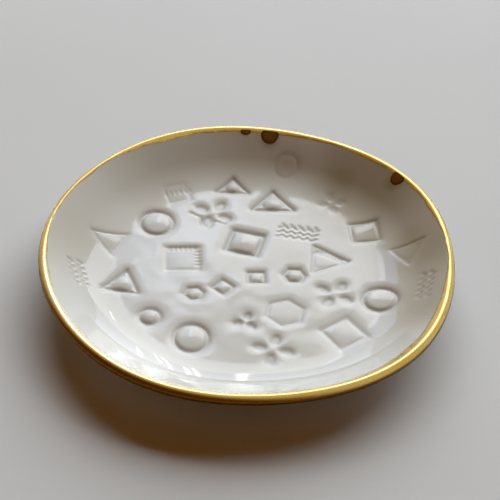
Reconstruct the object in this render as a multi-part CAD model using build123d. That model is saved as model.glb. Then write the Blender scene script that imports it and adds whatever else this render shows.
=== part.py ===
from build123d import *
from math import acos, atan2, cos, degrees, hypot, radians, sin, sqrt, tan
import os

# Ring dish, in millimetres. +Z is up, and the origin is the centre of the face that it rests on.
# It is one fired porcelain body under its coats: glaze inside and out, then gold brushed round
# the lip, with three thick runs of the gold. Each coat is its own solid, on the one below it.

# Whole dish
rim_radius = 50.0
overall_height = 11.6
foot_radius = 33.0
slab_thickness = 3.8
lip_thickness = 1.8
wall_angle = 33.0
floor_bend_radius = 20.0

# The rim was trimmed by hand: waves round it, share of the radius, turn in degrees
rim_wave_shares = ((2, 0.0030, -11), (4, 0.0088, 43), (5, 0.0067, 33))
rim_points = 24

# Coats
glaze_thickness = 0.25
gold_thickness = 0.10
run_thickness = 0.16
glaze_line_height = 1.0
gold_reach = 1.8
# How far in the brush went, as shares of gold_reach, at even steps anticlockwise from near +X
brush_shares = (
    0.65, 0.55, 0.70, 0.90, 1.10, 1.20, 1.20, 1.10, 0.90, 0.70, 0.60, 0.90,
    1.20, 1.05, 0.90, 0.78, 0.72, 0.70, 0.70, 0.78, 1.05, 1.45, 1.60, 1.30,
)

# Figures pressed into the floor and wall while the clay was soft
mark_depth = 0.8
trench_width = 1.75
trench_taper = 20.0
pillow_share = 0.85
dimple_taper = 30.0

# Hollow cutters: sides (0 is round), x, y and width as shares of rim_radius, turn in degrees
figure_shares = (
    (0, -0.470, 0.375, 0.170, 0),
    (0, -0.450, -0.315, 0.135, 0),
    (0, -0.250, -0.440, 0.185, 0),
    (0, 0.645, -0.130, 0.180, 0),
    (0, 0.180, 0.785, 0.125, 0),
    (3, -0.092, 0.662, 0.110, 90),
    (3, 0.115, 0.570, 0.125, 92),
    (3, 0.375, 0.150, 0.120, -2),
    (3, -0.665, 0.195, 0.115, -88),
    (3, -0.600, -0.110, 0.115, 75),
    (3, 0.795, 0.185, 0.100, 160),
    (4, -0.006, 0.270, 0.180, 33),
    (4, -0.325, 0.120, 0.175, 42),
    (4, -0.370, 0.605, 0.150, 57),
    (4, 0.580, 0.360, 0.170, 62),
    (4, 0.472, -0.400, 0.190, -8),
    (6, 0.190, -0.242, 0.190, 20),
    (6, -0.265, -0.135, 0.105, 10),
    (4, -0.112, -0.076, 0.100, 5),
    (4, 0.052, 0.000, 0.095, 50),
    (6, 0.236, 0.042, 0.105, 0),
)
# Leaf cutters: leaves, x, y and width as shares of rim_radius, turn in degrees
leaf_shares = (
    (4, -0.188, 0.470, 0.180, 20),
    (4, 0.420, -0.125, 0.180, 40),
    (4, 0.124, -0.488, 0.165, 45),
    (4, 0.420, 0.580, 0.150, 10),
    (3, 0.008, -0.322, 0.120, 30),
)
leaf_reach_share = 0.31
leaf_width_share = 0.34
# Combs: lines, x, y and length as shares of rim_radius, turn in degrees
comb_shares = (
    (3, 0.246, 0.350, 0.190, -3),
    (2, 0.850, -0.105, 0.190, 96),
    (2, -0.810, -0.085, 0.190, 100),
)
comb_line_width = 0.8
comb_pitch = 1.8
comb_depth = 0.55

# Runs of thick gold: angle round the rim in degrees, width and reach as shares of gold_reach
run_shares = ((94, 0.90, 1.45), (85, 1.75, 2.20), (40, 1.55, 1.70))

# How far cuts and trims run on past a face
overrun = 3.0

# Worked out from the sizes above
lip_radius = lip_thickness / 2
coats = glaze_thickness + gold_thickness
crest_inset = lip_radius + coats
lip_height = overall_height - crest_inset
slope = radians(wall_angle)

# Inside wall: straight down from the lip, then a bend into the level floor
inner_end = Vector(-crest_inset - lip_radius * sin(slope), lip_height + lip_radius * cos(slope))
bend_rise = floor_bend_radius * (1 - cos(slope))
bend_run = floor_bend_radius * sin(slope)
wall_run = (inner_end.Y - slab_thickness - bend_rise) / tan(slope)
floor_edge = inner_end.X - wall_run - bend_run
bend_centre = Vector(floor_edge, slab_thickness + floor_bend_radius)

# Outside wall: one arc from the foot, tangent to the lip
outer_end = Vector(lip_radius * sin(slope) - crest_inset, lip_height - lip_radius * cos(slope))
chord = outer_end - Vector(foot_radius - rim_radius, 0)
outer_radius = chord.length / (2 * sin(slope - atan2(chord.Y, chord.X)))
outer_centre = outer_end + Vector(-sin(slope), cos(slope)) * outer_radius


def rim_point(angle, inset=0):
    """Point of the hand-trimmed outline at an angle in degrees, moved inwards."""
    waves = sum(share * cos(radians(count * (angle - turn))) for count, share, turn in rim_wave_shares)
    radius = rim_radius * (1 + waves) - inset
    return Vector(radius * cos(radians(angle)), radius * sin(radians(angle)))


def outline(insets, lead=0):
    """Closed edge round the dish through evenly spaced points, one for each inset."""
    step = 360 / len(insets)
    points = [rim_point((i + lead) * step, inset) for i, inset in enumerate(insets)]
    return Edge.make_spline(points, periodic=True)


def column(insets):
    """Upright block inside an outline, past the dish above and below.

    Its outline starts half a step on, so that its seam never falls on the seam of a bowl.
    """
    foot = Plane.XY.offset(-overrun) * Face(Wire([outline(insets, lead=1 / 2)]))
    return extrude(foot, amount=overall_height + 2 * overrun, dir=(0, 0, 1))


def wall_section(grow):
    """Half section with x out from the rim: the clay's walls moved out by a coat."""
    heel = outer_centre.X + sqrt((outer_radius + grow) ** 2 - outer_centre.Y**2)
    heel_angle = degrees(acos((heel - outer_centre.X) / (outer_radius + grow)))
    lip_start = wall_angle - 90
    bend = CenterArc(bend_centre, floor_bend_radius - grow, lip_start, -wall_angle)
    return make_face([
        CenterArc(outer_centre, outer_radius + grow, -heel_angle, heel_angle + lip_start),
        CenterArc((-crest_inset, lip_height), lip_radius + grow, lip_start, 180),
        Line(inner_end + Vector(-sin(slope), cos(slope)) * grow, bend @ 0),
        bend,
        Line(bend @ 1, (heel, 0)),
    ])


def bowl(grow=0):
    """The dish's full form out to a coat: a swept wall, closed by its flat floor and foot."""
    path = outline([0] * rim_points)
    outwards = (path % 0).cross(Vector(0, 0, 1))
    start = Plane(path @ 0, x_dir=outwards, z_dir=outwards.cross(Vector(0, 0, 1)))
    faces = sweep(start * wall_section(grow), path=path).faces()
    core = faces.sort_by(lambda face: face.bounding_box().max.X)[0]
    discs = [Face(Wire([edge])) for edge in core.edges() if edge.is_closed]
    return Solid(Shell([face for face in faces if not face.is_same(core)] + discs))


def coat_between(outside, inside):
    """Solid between two nested bowls that stand on the same table."""
    outer_foot, inner_foot = (form.faces().sort_by(Axis.Z)[0] for form in (outside, inside))
    heel_ring = Face(outer_foot.outer_wire(), [inner_foot.outer_wire()])
    outer_skin = [face for face in outside.faces() if not face.is_same(outer_foot)]
    inner_skin = [-face for face in inside.faces() if not face.is_same(inner_foot)]
    return Solid(Shell(outer_skin + inner_skin + [heel_ring]))


def inside_height(radius):
    """Height of the clay's inside at a distance from the middle, on a rim without waves."""
    run = max(0, radius - rim_radius - floor_edge)
    if run < bend_run:
        return bend_centre.Y - sqrt(floor_bend_radius**2 - run**2)
    return slab_thickness + bend_rise + (run - bend_run) * tan(slope)


def on_surface(x_share, y_share, width_share, turn, grow):
    """Plane that spans a figure's width on the inside of a coat, its x turned in plan in degrees."""
    x, y, reach = x_share * rim_radius, y_share * rim_radius, width_share * rim_radius / 2
    low, high = (inside_height(hypot(x, y) + side) for side in (-reach, reach))
    tilt, bearing = atan2(high - low, 2 * reach), atan2(y, x)
    normal = Vector(-sin(tilt) * cos(bearing), -sin(tilt) * sin(bearing), cos(tilt))
    along = Vector(cos(radians(turn)), sin(radians(turn)), 0)
    place = Plane((x, y, (low + high) / 2), x_dir=along - normal * along.dot(normal), z_dir=normal)
    return place.offset(grow)


def figure(sides, half_width):
    """Flat outline of a cutter, by its half width between flats."""
    if sides:
        return RegularPolygon(half_width, sides, major_radius=False)
    return Circle(half_width)


def pit(place, face, depth, taper):
    """Sloping-sided pit below a place, open above it."""
    return extrude(place * face, amount=-depth, taper=taper) + extrude(place * face, amount=overrun)


def pressed_figure(sides, x_share, y_share, width_share, turn, grow):
    """Trench round a pillow, as a hollow cutter leaves it."""
    place = on_surface(x_share, y_share, width_share, turn, grow)
    half_width = width_share * rim_radius / 2
    trench = pit(place, figure(sides, half_width - grow), mark_depth, trench_taper)
    if half_width < trench_width + mark_depth:
        return trench
    pillow_face = place.offset(-mark_depth) * figure(sides, half_width - trench_width + grow)
    return trench - extrude(pillow_face, mark_depth * pillow_share, taper=trench_taper)


def pressed_leaves(count, x_share, y_share, width_share, turn, grow):
    """Round dimples about a centre."""
    place = on_surface(x_share, y_share, width_share, turn, grow)
    width = width_share * rim_radius
    leaf = Circle(width * leaf_width_share / 2 - grow)
    dimple = pit(Plane.XY, leaf, mark_depth, dimple_taper)
    return [place * spot * dimple for spot in PolarLocations(width * leaf_reach_share, count)]


def pressed_comb(lines, x_share, y_share, length_share, turn, grow):
    """Side-by-side slots."""
    place = on_surface(x_share, y_share, length_share, turn, grow)
    slot_face = Rectangle(length_share * rim_radius - 2 * grow, comb_line_width - grow)
    slot = pit(Plane.XY, slot_face, comb_depth, 0)
    return [place * spot * slot for spot in GridLocations(0, comb_pitch, 1, lines)]


def pressings(grow=0):
    """Everything that the cutters took out of one coat's surface."""
    tools = [pressed_figure(*row, grow) for row in figure_shares]
    for row in leaf_shares:
        tools += pressed_leaves(*row, grow)
    for row in comb_shares:
        tools += pressed_comb(*row, grow)
    return tools


def upper_part(shape):
    """The highest of the pieces that a trim leaves."""
    return shape.solids().sort_by(Axis.Z)[-1]


def gold_run(film, inside_brush, angle, width_share, reach_share):
    """Thick gold that ran down the inside wall from the brushed band."""
    width = width_share * gold_reach
    tip = rim_point(angle, reach_share * gold_reach - width / 2)
    trail = Pos(0, gold_reach) * Rectangle(width, 2 * gold_reach)
    place = Plane((tip.X, tip.Y, 0), x_dir=tip.rotate(Axis.Z, -90))
    drop = extrude(place * (Circle(width / 2) + trail), amount=overall_height + overrun)
    return upper_part(film & (drop & inside_brush))


smooth_clay = bowl()
smooth_glazed = bowl(glaze_thickness)
crest_column = column([crest_inset] * rim_points)
outside_crest = column([-overrun] * rim_points) - crest_column

clay = smooth_clay - pressings()
glaze = coat_between(smooth_glazed - pressings(glaze_thickness), clay)
inner_glaze = upper_part(glaze - outside_crest)

smooth_glaze = coat_between(smooth_glazed, smooth_clay)
bare_foot = Cylinder(rim_radius, glaze_line_height, align=(Align.CENTER, Align.CENTER, Align.MIN))
outer_glaze = smooth_glaze - upper_part(smooth_glaze & crest_column) - bare_foot

inside_brush = column([gold_reach * share for share in brush_shares])
gold_rim = coat_between(bowl(coats), smooth_glazed) - inside_brush
run_film = coat_between(bowl(glaze_thickness + run_thickness), smooth_glazed)
gold_runs = Compound([gold_run(run_film, inside_brush, *row) for row in run_shares])

pieces = {
    "porcelain_body": clay,
    "inner_glaze": inner_glaze,
    "outer_glaze": outer_glaze,
    "gold_rim": gold_rim,
    "gold_runs": gold_runs,
}

os.makedirs("parts", exist_ok=True)
for name, piece in pieces.items():
    export_step(piece, f"parts/{name}.step")
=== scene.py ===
import math

import bmesh
import bpy
import numpy as np
from mathutils import Matrix


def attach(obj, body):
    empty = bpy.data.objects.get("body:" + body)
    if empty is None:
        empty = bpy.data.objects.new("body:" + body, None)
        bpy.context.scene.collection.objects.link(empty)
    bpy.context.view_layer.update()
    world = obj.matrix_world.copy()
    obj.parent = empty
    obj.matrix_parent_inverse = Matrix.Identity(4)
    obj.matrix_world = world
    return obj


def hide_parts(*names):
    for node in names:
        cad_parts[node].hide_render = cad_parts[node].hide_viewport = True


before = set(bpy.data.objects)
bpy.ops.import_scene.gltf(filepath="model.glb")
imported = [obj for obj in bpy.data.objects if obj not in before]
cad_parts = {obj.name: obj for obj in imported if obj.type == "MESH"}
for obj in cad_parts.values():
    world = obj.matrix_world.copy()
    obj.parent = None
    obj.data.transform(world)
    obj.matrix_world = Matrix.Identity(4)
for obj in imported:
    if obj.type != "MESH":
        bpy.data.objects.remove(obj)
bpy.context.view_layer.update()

# Porcelain body: one slab of white porcelain clay, slumped over a round form. Its rim was cut and
# rounded by hand, so it is not a true circle. Fired once, and bare only under its foot.

MM = 0.001
RIM_RADIUS = 50.0
# Waves of the hand-cut rim: how many go round, height as a share of the radius, turn in degrees
RIM_WAVES = ((2, 0.0030, -11), (4, 0.0088, 43), (5, 0.0067, 33))
# Distances out are from the rim in mm, and heights are from the table
LIP_RADIUS = 0.9
LIP_OUT, LIP_UP = -1.25, 10.35
SLOPE = math.radians(33.0)
SLAB = 3.8
FLOOR_BEND = 20.0
FOOT_OUT = -17.0
CLAY_STEPS = 96
# The clay's grid is coarser than the glaze's, so its inside keeps this far below the glaze
CLAY_CLEARANCE = 0.04

INNER_TOP = (LIP_OUT - LIP_RADIUS * math.sin(SLOPE), LIP_UP + LIP_RADIUS * math.cos(SLOPE))
BEND_RISE, BEND_RUN = FLOOR_BEND * (1 - math.cos(SLOPE)), FLOOR_BEND * math.sin(SLOPE)
FLOOR_OUT = INNER_TOP[0] - BEND_RUN - (INNER_TOP[1] - SLAB - BEND_RISE) / math.tan(SLOPE)
OUTER_TOP = (LIP_OUT + LIP_RADIUS * math.sin(SLOPE), LIP_UP - LIP_RADIUS * math.cos(SLOPE))
CHORD = (OUTER_TOP[0] - FOOT_OUT, OUTER_TOP[1])
OUTER_RADIUS = math.hypot(*CHORD) / (2 * math.sin(SLOPE - math.atan2(CHORD[1], CHORD[0])))
OUTER_CENTRE = (
    OUTER_TOP[0] - OUTER_RADIUS * math.sin(SLOPE),
    OUTER_TOP[1] + OUTER_RADIUS * math.cos(SLOPE),
)


def rim_at(angle):
    """Radius of the hand-cut rim at angles in radians."""
    waves = sum(share * np.cos(count * (angle - math.radians(turn))) for count, share, turn in RIM_WAVES)
    return RIM_RADIUS * (1 + waves)


def dish_section(grow):
    """Section of the dish under a coat: way along it out from the crest, distance out, height."""
    rise = np.linspace(0, SLOPE, 80)
    straight = np.linspace((INNER_TOP[1] - SLAB - BEND_RISE) / math.sin(SLOPE), 0, 30)[1:]
    swing = np.linspace(-SLOPE, math.pi - SLOPE, 120)
    heel = math.acos(OUTER_CENTRE[1] / (OUTER_RADIUS + grow))
    fall = np.linspace(SLOPE, heel, 80)
    out = np.concatenate((
        [-2 * RIM_RADIUS],
        FLOOR_OUT + (FLOOR_BEND - grow) * np.sin(rise),
        INNER_TOP[0] - math.sin(SLOPE) * grow - straight * math.cos(SLOPE),
        LIP_OUT + (LIP_RADIUS + grow) * np.sin(swing[1:]),
        OUTER_CENTRE[0] + (OUTER_RADIUS + grow) * np.sin(fall[1:]),
    ))
    up = np.concatenate((
        [SLAB + grow],
        SLAB + FLOOR_BEND - (FLOOR_BEND - grow) * np.cos(rise),
        INNER_TOP[1] + math.cos(SLOPE) * grow - straight * math.sin(SLOPE),
        LIP_UP + (LIP_RADIUS + grow) * np.cos(swing[1:]),
        OUTER_CENTRE[1] - (OUTER_RADIUS + grow) * np.cos(fall[1:]),
    ))
    way = np.concatenate(([0], np.cumsum(np.hypot(np.diff(out), np.diff(up)))))
    return way - way[np.argmax(up)], out, up


def inside_surface(plan, grow):
    """Points of the inside surface over plan points, and the directions that they face."""
    way, out, up = dish_section(grow)
    out, up = out[way <= 0], up[way <= 0]
    bearing = np.arctan2(plan[:, 1], plan[:, 0])
    from_rim = np.hypot(plan[:, 0], plan[:, 1]) - rim_at(bearing)
    slope = np.interp(from_rim, out, np.gradient(up, out))
    facing = np.column_stack((-slope * np.cos(bearing), -slope * np.sin(bearing), np.ones_like(slope)))
    points = np.column_stack((plan, np.interp(from_rim, out, up)))
    return points, facing / np.linalg.norm(facing, axis=1)[:, None]


def below_lip(plan):
    """Share that rises from 0 on the crest to 1 three millimetres down the inside wall."""
    from_rim = np.hypot(plan[:, 0], plan[:, 1]) - rim_at(np.arctan2(plan[:, 1], plan[:, 0]))
    return np.clip((LIP_OUT - from_rim) / 3.0, 0, 1)[:, None]


def patch_faces(spot):
    """Quads of a patch of corners in rows and columns, and the ring of corners round its edge."""
    corners = (spot[:-1, :-1], spot[:-1, 1:], spot[1:, 1:], spot[1:, :-1])
    quads = np.column_stack([corner.ravel() for corner in corners])
    edge = np.concatenate((spot[0, :-1], spot[:-1, -1], spot[-1, :0:-1], spot[:0:-1, 0]))
    return quads, edge


def disc_grid(steps, last_rows=()):
    """Disc of quads without a pole, out to the crest: plan points, quads and edge ring.

    last_rows are distances in from the crest of rows that crowd towards it.
    """
    line = np.arange(steps + 1) - steps // 2
    across, along = np.meshgrid(line, line)
    row = np.maximum(abs(across), abs(along))
    wide = abs(across) >= abs(along)
    long_side, short_side = np.where(wide, across, along), np.where(wide, along, across)
    lean = short_side / np.where(row == 0, 1, long_side) * math.pi / 4
    turn = np.where(wide, lean, math.pi / 2 - lean) + np.where(long_side < 0, math.pi, 0)
    plain = steps // 2 - len(last_rows)
    gaps = np.array((*last_rows, 0))
    reach = (rim_at(turn) + LIP_OUT - gaps[np.maximum(row - plain, 0)]) * np.minimum(row, plain) / plain
    plan = np.column_stack(((reach * np.cos(turn)).ravel(), (reach * np.sin(turn)).ravel()))
    quads, edge = patch_faces(np.arange((steps + 1) ** 2).reshape(steps + 1, -1))
    return plan, quads, edge


def ring_at(turns, out, up):
    """Ring of points at a distance out from the rim and a height."""
    radius = rim_at(turns) + out
    return np.column_stack((radius * np.cos(turns), radius * np.sin(turns), up + 0 * turns))


def join_rings(low, high):
    """Quads between two rings of corners."""
    return np.column_stack((low, np.roll(low, -1), np.roll(high, -1), high))


def store_facts(mesh, facts):
    """Keep named numbers or vectors on each point of a mesh."""
    for key, values in facts.items():
        kind, field = ("FLOAT_VECTOR", "vector") if values.ndim == 2 else ("FLOAT", "value")
        kept = mesh.attributes.new(key, kind, "POINT").data
        kept.foreach_set(field, values.astype(np.float32).ravel())


def new_piece(name, points, faces, facts):
    """Smooth closed mesh from points in millimetres, faces turned outwards."""
    mesh = bpy.data.meshes.new(name)
    mesh.from_pydata((points * MM).tolist(), [], [list(map(int, face)) for part in faces for face in part])
    store_facts(mesh, facts)
    work = bmesh.new()
    work.from_mesh(mesh)
    bmesh.ops.recalc_face_normals(work, faces=work.faces)
    work.to_mesh(mesh)
    work.free()
    mesh.shade_smooth()
    piece = bpy.data.objects.new(name, mesh)
    bpy.context.scene.collection.objects.link(piece)
    return piece


def press_facts(plan, facing, top):
    """What the cutters need to know of each point: its place in plan, direction and skin."""
    return {
        "plan": np.column_stack((plan[:, :2] * MM, np.zeros(len(plan)))),
        "press_axis": facing * below_lip(plan),
        "top_skin": np.full(len(plan), float(top)),
    }


clay_plan, clay_quads, clay_edge = disc_grid(CLAY_STEPS)
clay_top, clay_facing = inside_surface(clay_plan, 0)
clay_top = clay_top - clay_facing * CLAY_CLEARANCE
turns = np.arctan2(clay_top[clay_edge, 1], clay_top[clay_edge, 0])
way, out, up = dish_section(0)
points, faces, ring = [clay_top], [clay_quads], clay_edge
# Rings crowd round the lip, thin out down the outside and cross the flat foot
for step in (*np.linspace(0.3, 4, 13), *np.linspace(5, way[-1], 20)):
    points.append(ring_at(turns, np.interp(step, way, out), np.interp(step, way, up)))
heel = points[-1]
points += [heel * share for share in (0.75, 0.5, 0.25)]
for extra in range(len(points) - 1):
    next_ring = len(clay_top) + extra * len(turns) + np.arange(len(turns))
    faces.append(join_rings(ring, next_ring))
    ring = next_ring
centre = len(clay_top) + len(turns) * (len(points) - 1)
faces.append([(a, b, centre) for a, b in zip(ring, np.roll(ring, -1))])
points = np.concatenate((*points, [[0, 0, 0]]))
still = np.zeros((len(points) - len(clay_top), 3))
facts = press_facts(points, np.concatenate((clay_facing, still)), 0)
body = new_piece("Porcelain_Body", points, faces, facts)


def linear(code):
    """Linear colour of an sRGB hex value."""
    shares = [int(code[i : i + 2], 16) / 255 for i in (1, 3, 5)]
    return (*(c / 12.92 if c <= 0.04045 else ((c + 0.055) / 1.055) ** 2.4 for c in shares), 1.0)


def add_node(tree, kind, inputs=None, **settings):
    """Add a node with its settings, its inputs given values or linked to sockets."""
    node = tree.nodes.new(kind)
    for name, value in settings.items():
        setattr(node, name, value)
    for key, value in (inputs or {}).items():
        if isinstance(value, bpy.types.NodeSocket):
            tree.links.new(value, node.inputs[key])
        else:
            node.inputs[key].default_value = value
    return node


def new_finish(name):
    """Start a material: itself, its node tree, its shader and the place of a point on the piece."""
    finish = bpy.data.materials.new(name)
    finish.use_nodes = True
    tree = finish.node_tree
    place = add_node(tree, "ShaderNodeTexCoord").outputs["Object"]
    return finish, tree, tree.nodes["Principled BSDF"], place


# Bisque porcelain, sponged and sanded: matt chalk white with a faint warm cast, a fine grain,
# and a few grey specks that it took from the kiln shelf.
bisque, tree, shader, place = new_finish("Bisque_Porcelain")
# Clouds of tone are 6 mm across
cloud = add_node(tree, "ShaderNodeTexNoise", {"Vector": place, "Scale": 1 / (6 * MM), "Detail": 3.0})
# Sanding grain is 0.1 mm, drawn at 0.3 mm so that it shows
grain = add_node(tree, "ShaderNodeTexNoise", {"Vector": place, "Scale": 1 / (0.3 * MM), "Detail": 2.0})
tone = add_node(
    tree,
    "ShaderNodeMix",
    {"Factor": cloud.outputs["Fac"], 6: linear("#cfcabf"), 7: linear("#e2ded5")},
    data_type="RGBA",
)
speck = add_node(
    tree, "ShaderNodeMapRange", {"Value": grain.outputs["Fac"], "From Min": 0.70, "From Max": 0.76}
)
specked = add_node(
    tree,
    "ShaderNodeMix",
    {"Factor": speck.outputs[0], 6: tone.outputs[2], 7: linear("#a59e90")},
    data_type="RGBA",
)
dull = add_node(tree, "ShaderNodeMapRange", {"Value": cloud.outputs["Fac"], "To Min": 0.72, "To Max": 0.86})
rise = add_node(
    tree, "ShaderNodeBump", {"Height": grain.outputs["Fac"], "Strength": 0.25, "Distance": 0.03 * MM}
)
tree.links.new(specked.outputs[2], shader.inputs["Base Color"])
tree.links.new(dull.outputs[0], shader.inputs["Roughness"])
tree.links.new(rise.outputs["Normal"], shader.inputs["Normal"])
shader.inputs["IOR"].default_value = 1.5

# Pressings: small metal and wooden cutters pushed into the floor while the clay was soft. Each
# leaves a groove round a pillow of clay, steep and toothed inside the groove and soft outside it.

# Sides (0 is round), x, y and width of the groove's centre line in mm, which for a triangle is that
# of the circle inside it, its reach along the turn as a share of the width, turn in degrees, depth
# and half width of the groove in mm, how far its outer slope spreads in half widths, how deep the
# pillow's edge lies as a share of the depth, how far its middle domes up again, and how deep the
# teeth are
CUTTERS = (
    (0, -23.2, 17.6, 8.4, 0.93, 0, 0.62, 0.55, 2.8, 0.50, 1.9, 0.40),
    (0, -22.5, -16.3, 4.9, 0.95, 0, 0.55, 0.80, 2.5, 0.60, 1.8, 0.00),
    (0, -12.4, -22.8, 8.8, 0.88, 0, 0.66, 0.70, 2.5, 0.50, 2.0, 0.00),
    (0, 31.8, -7.1, 7.7, 1.00, 0, 0.60, 0.60, 2.8, 0.50, 1.9, 0.35),
    (0, 8.7, 38.9, 5.6, 1.00, 0, 0.10, 0.60, 2.4, 0.50, 1.2, 0.15),
    (3, -4.8, 32.3, 4.6, 0.66, 90, 0.50, 0.55, 2.5, 0.50, 1.8, 0.00),
    (3, 5.6, 26.9, 5.9, 0.77, 92, 0.60, 0.55, 2.7, 0.50, 1.8, 0.00),
    (3, 18.8, 6.3, 5.6, 1.00, -2, 0.38, 0.42, 2.5, 0.80, 0.4, 0.35),
    (3, -34.0, 9.4, 4.8, 1.00, -82, 0.26, 0.45, 2.8, 0.70, 0.7, 0.15),
    (3, -29.8, -5.4, 4.7, 1.00, 83, 0.58, 0.58, 2.7, 0.55, 1.7, 0.00),
    (3, 38.9, 8.2, 4.4, 1.00, 154, 0.18, 0.50, 2.0, 0.70, 0.8, 0.35),
    (4, -1.0, 11.5, 7.4, 1.00, 31.6, 0.66, 0.55, 3.4, 0.55, 1.8, 0.40),
    (4, -16.0, 4.6, 7.8, 1.00, 48.4, 0.32, 0.42, 3.9, 0.90, 0.2, 0.35),
    (4, -18.7, 28.8, 5.4, 1.00, 67, 0.12, 0.50, 2.5, 0.70, 0.7, 0.40),
    (4, 28.7, 17.2, 6.4, 1.00, 52.8, 0.38, 0.45, 2.9, 0.65, 1.5, 0.45),
    (4, 23.1, -19.2, 7.4, 1.00, -8, 0.36, 0.90, 2.5, 0.75, 0.7, 0.00),
    (6, 9.2, -13.0, 7.7, 1.00, 20, 0.32, 0.62, 2.7, 0.85, 0.3, 0.00),
    (6, -12.6, -7.6, 3.8, 1.00, 10, 0.50, 0.66, 1.9, 0.70, 0.9, 0.00),
    (4, -5.8, -5.0, 3.6, 1.00, 5, 0.48, 0.66, 1.9, 0.65, 1.0, 0.00),
    (4, 2.1, -1.1, 3.6, 1.00, 50, 0.48, 0.66, 1.9, 0.65, 0.9, 0.00),
    (6, 11.3, 0.3, 4.2, 1.00, 0, 0.54, 0.72, 1.9, 0.60, 1.3, 0.00),
)
# Leaf cutters: leaves, x, y and width in mm, turn in degrees, depth in mm
LEAVES = (
    (4, -9.2, 22.2, 10.8, 62, 0.48),
    (4, 21.0, -5.9, 10.4, 60, 0.48),
    (4, 6.6, -25.5, 10.6, 80, 0.52),
    (4, 20.5, 27.4, 7.0, 10, 0.20),
    (3, 0.0, -16.6, 6.2, 76, 0.58),
)
LEAF_REACH, LEAF_LENGTH, LEAF_WIDTH = 0.31, 0.20, 0.10
# Wavy combs: lines, x, y, length and pitch in mm, turn in degrees, depth in mm
COMBS = (
    (3, 12.0, 15.6, 9.4, 1.7, -9, 0.25),
    (2, 42.3, -5.9, 8.5, 1.8, 77, 0.18),
    (2, -40.4, -4.8, 8.0, 2.2, -72, 0.22),
)
# Rows of ticks: count, first x, y, last x, y, stroke in mm, turn in degrees, depth in mm
TICKS = (
    (6, -19.2, 7.9, -13.2, 8.6, 1.0, 92, 0.24),
    (5, -12.5, 7.2, -12.0, 2.6, 0.9, 5, 0.14),
    (8, 16.8, 9.2, 22.6, 6.4, 1.0, 60, 0.20),
    (5, 8.3, 18.6, 16.5, 17.4, 0.8, 85, 0.22),
    (6, -21.5, 28.2, -15.7, 30.5, 0.9, 112, 0.12),
)
# Single strokes: x, y from one end to the other in mm, depth in mm
STROKES = (
    (-14.9, 21.8, -12.3, 20.4, 0.30),
    (-12.3, 20.4, -11.9, 17.5, 0.26),
    (-11.9, 17.5, -10.1, 17.1, 0.34),
    (-10.1, 17.1, -9.0, 19.2, 0.34),
    (-9.0, 19.2, -6.2, 18.4, 0.34),
)

# Each mark is its shape, place, reach along and across its turn, turn, depth, half width and spread,
# and then its pillow. Leaves, lines and strokes have no pillow.
LEAF_HALF_WIDTH, LEAF_SPREAD = 0.8, 2.2
stamped = [
    (sides, x, y, width * share, width, turn, *rest)
    for sides, x, y, width, share, turn, *rest in CUTTERS
]
for leaves, x, y, width, turn, depth in LEAVES:
    for leaf in range(leaves):
        bearing = math.radians(turn + 360 * leaf / leaves)
        leaf_x = x + LEAF_REACH * width * math.cos(bearing)
        leaf_y = y + LEAF_REACH * width * math.sin(bearing)
        leaf_place = (leaf_x, leaf_y, LEAF_LENGTH * width, LEAF_WIDTH * width, math.degrees(bearing))
        stamped.append((0, *leaf_place, depth, LEAF_HALF_WIDTH, LEAF_SPREAD, 1, 0, 0))
# Scored marks are as narrow as a needle's point. Shape 1 is a straight line and 2 a wavy one.
SCORE_HALF_WIDTH, SCORE_SPREAD, TICK_SPREAD = 0.5, 1.6, 1.4
scored = []
for lines, x, y, length, pitch, turn, depth in COMBS:
    for line in range(lines):
        bearing, reach = math.radians(turn + 90), (line - (lines - 1) / 2) * pitch
        line_x, line_y = x + reach * math.cos(bearing), y + reach * math.sin(bearing)
        line_place = (line_x, line_y, length, length, turn)
        scored.append((2, *line_place, depth, SCORE_HALF_WIDTH, SCORE_SPREAD, 0, 0, 0))
for count, x0, y0, x1, y1, stroke, turn, depth in TICKS:
    for share in np.linspace(0, 1, count):
        tick_place = (x0 + (x1 - x0) * share, y0 + (y1 - y0) * share, stroke, stroke, turn)
        scored.append((1, *tick_place, depth, SCORE_HALF_WIDTH, TICK_SPREAD, 0, 0, 0))
for x0, y0, x1, y1, depth in STROKES:
    length, turn = math.hypot(x1 - x0, y1 - y0), math.degrees(math.atan2(y1 - y0, x1 - x0))
    stroke_place = ((x0 + x1) / 2, (y0 + y1) / 2, length, length, turn)
    scored.append((1, *stroke_place, depth, SCORE_HALF_WIDTH, SCORE_SPREAD, 0, 0, 0))


def cutter_places(name, rows):
    """Points that say where each cutter went in and how, in metres and radians."""
    table = np.array(rows, dtype=float)
    count = len(table)
    centres = np.column_stack((table[:, 1:3] * MM, np.zeros(count)))
    places = bpy.data.meshes.new(name)
    places.from_pydata(centres.tolist(), [], [])
    facts = {
        "shape": table[:, 0],
        "size": np.column_stack((table[:, 3:5] * MM, np.ones(count))),
        "turn": np.column_stack((np.zeros((count, 2)), np.radians(table[:, 5]))),
        "centre": np.column_stack((centres[:, :2], np.where(table[:, 0] == 0, table[:, 3] / 2, 0) * MM)),
        "groove": np.column_stack((table[:, 6:8] * MM, table[:, 8])),
        "pillow": table[:, 9:12],
        "reach": np.minimum(table[:, 3], table[:, 4]) / 2 * MM,
    }
    store_facts(places, facts)
    return bpy.data.objects.new(name, places)


stamp_places = cutter_places("Stamp_Places", stamped)
score_places = cutter_places("Score_Places", scored)

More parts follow.
